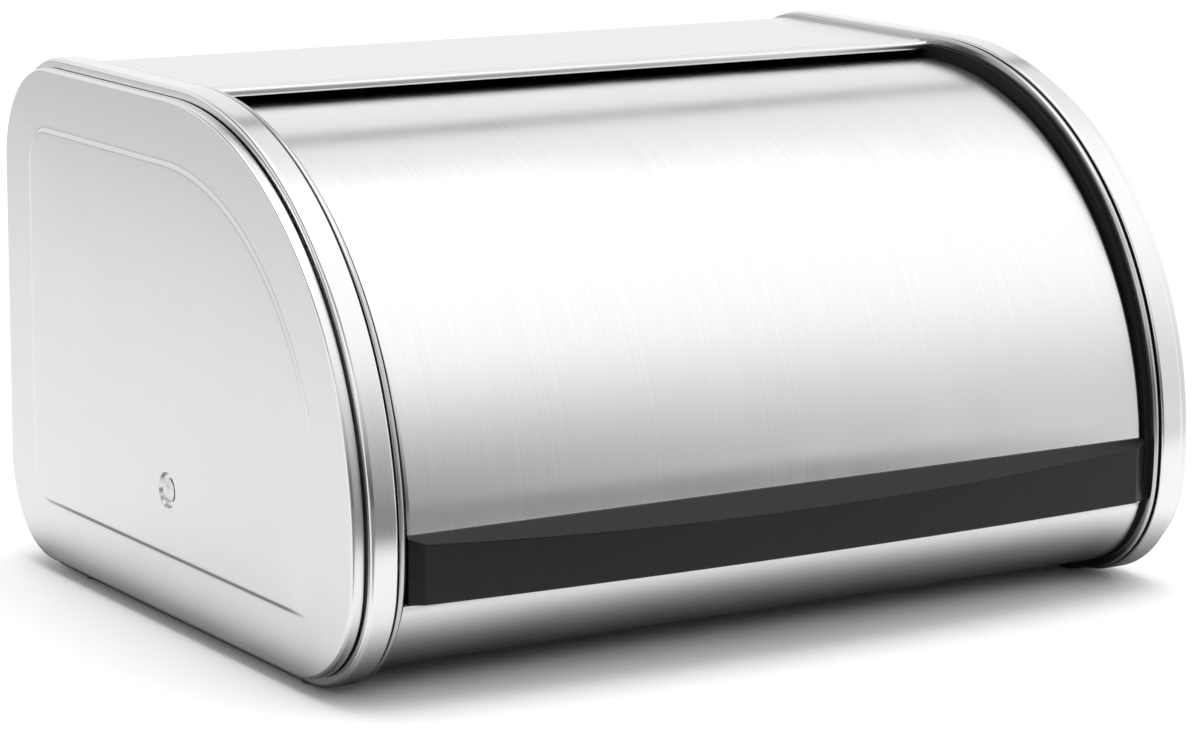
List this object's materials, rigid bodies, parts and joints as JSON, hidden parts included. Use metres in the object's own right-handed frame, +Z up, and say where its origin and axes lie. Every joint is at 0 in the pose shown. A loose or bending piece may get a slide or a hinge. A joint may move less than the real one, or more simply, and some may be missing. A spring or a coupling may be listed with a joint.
{
  "type": "bread box with roll top",
  "caption": "Free-standing steel bread box with D-shaped ends and a curved lid that rolls up and back into the body on side pivots, lifted by a long black handle.",
  "frame": {"origin": "centre of the bounding box's base: the floor plane under the feet", "axes": "+X along the box's width to its right end seen from the front, +Y towards the back, +Z up"},
  "size_m": [0.3308, 0.264, 0.1815],
  "materials": {
    "shell_steel": "brushed, satin",
    "panel_steel": "fine matt brushed",
    "rim_steel": "semi-bright brushed",
    "lid_steel": "brushed along the curve",
    "fastener_steel": "bright",
    "liner_plastic": "moulded, matt black",
    "handle_plastic": "fine satin black",
    "bush_nylon": "natural nylon",
    "stop_rubber": "matt",
    "foot_rubber": "matt"
  },
  "bodies": {
    "box": {"back_shell": "shell_steel", "base_pan": "shell_steel", "left_side_panel": "panel_steel", "left_rim_band": "rim_steel", "left_trim_ring": "rim_steel", "left_end_liner": "liner_plastic", "left_pivot_rivet": "fastener_steel", "left_pivot_washer": "fastener_steel", "left_open_stop": "stop_rubber", "left_closed_stop": "stop_rubber", "front_left_foot": "foot_rubber", "rear_left_foot": "foot_rubber", "right_side_panel": "panel_steel", "right_rim_band": "rim_steel", "right_trim_ring": "rim_steel", "right_end_liner": "liner_plastic", "right_pivot_rivet": "fastener_steel", "right_pivot_washer": "fastener_steel", "right_open_stop": "stop_rubber", "right_closed_stop": "stop_rubber", "front_right_foot": "foot_rubber", "rear_right_foot": "foot_rubber"},
    "lid": {"left_lid_arm": "liner_plastic", "left_pivot_bush": "bush_nylon", "left_arm_rivets": "fastener_steel", "right_lid_arm": "liner_plastic", "right_pivot_bush": "bush_nylon", "right_arm_rivets": "fastener_steel", "lid_sheet": "lid_steel", "lid_handle": "handle_plastic", "handle_screws": "fastener_steel"}
  },
  "joints": [
    {"name": "lid_roll", "type": "hinge", "parent": "box", "child": "lid", "pos_m": [0, 0.002, 0.048], "axis": [-1, 0, 0], "range_deg": [0, 85]}
  ]
}
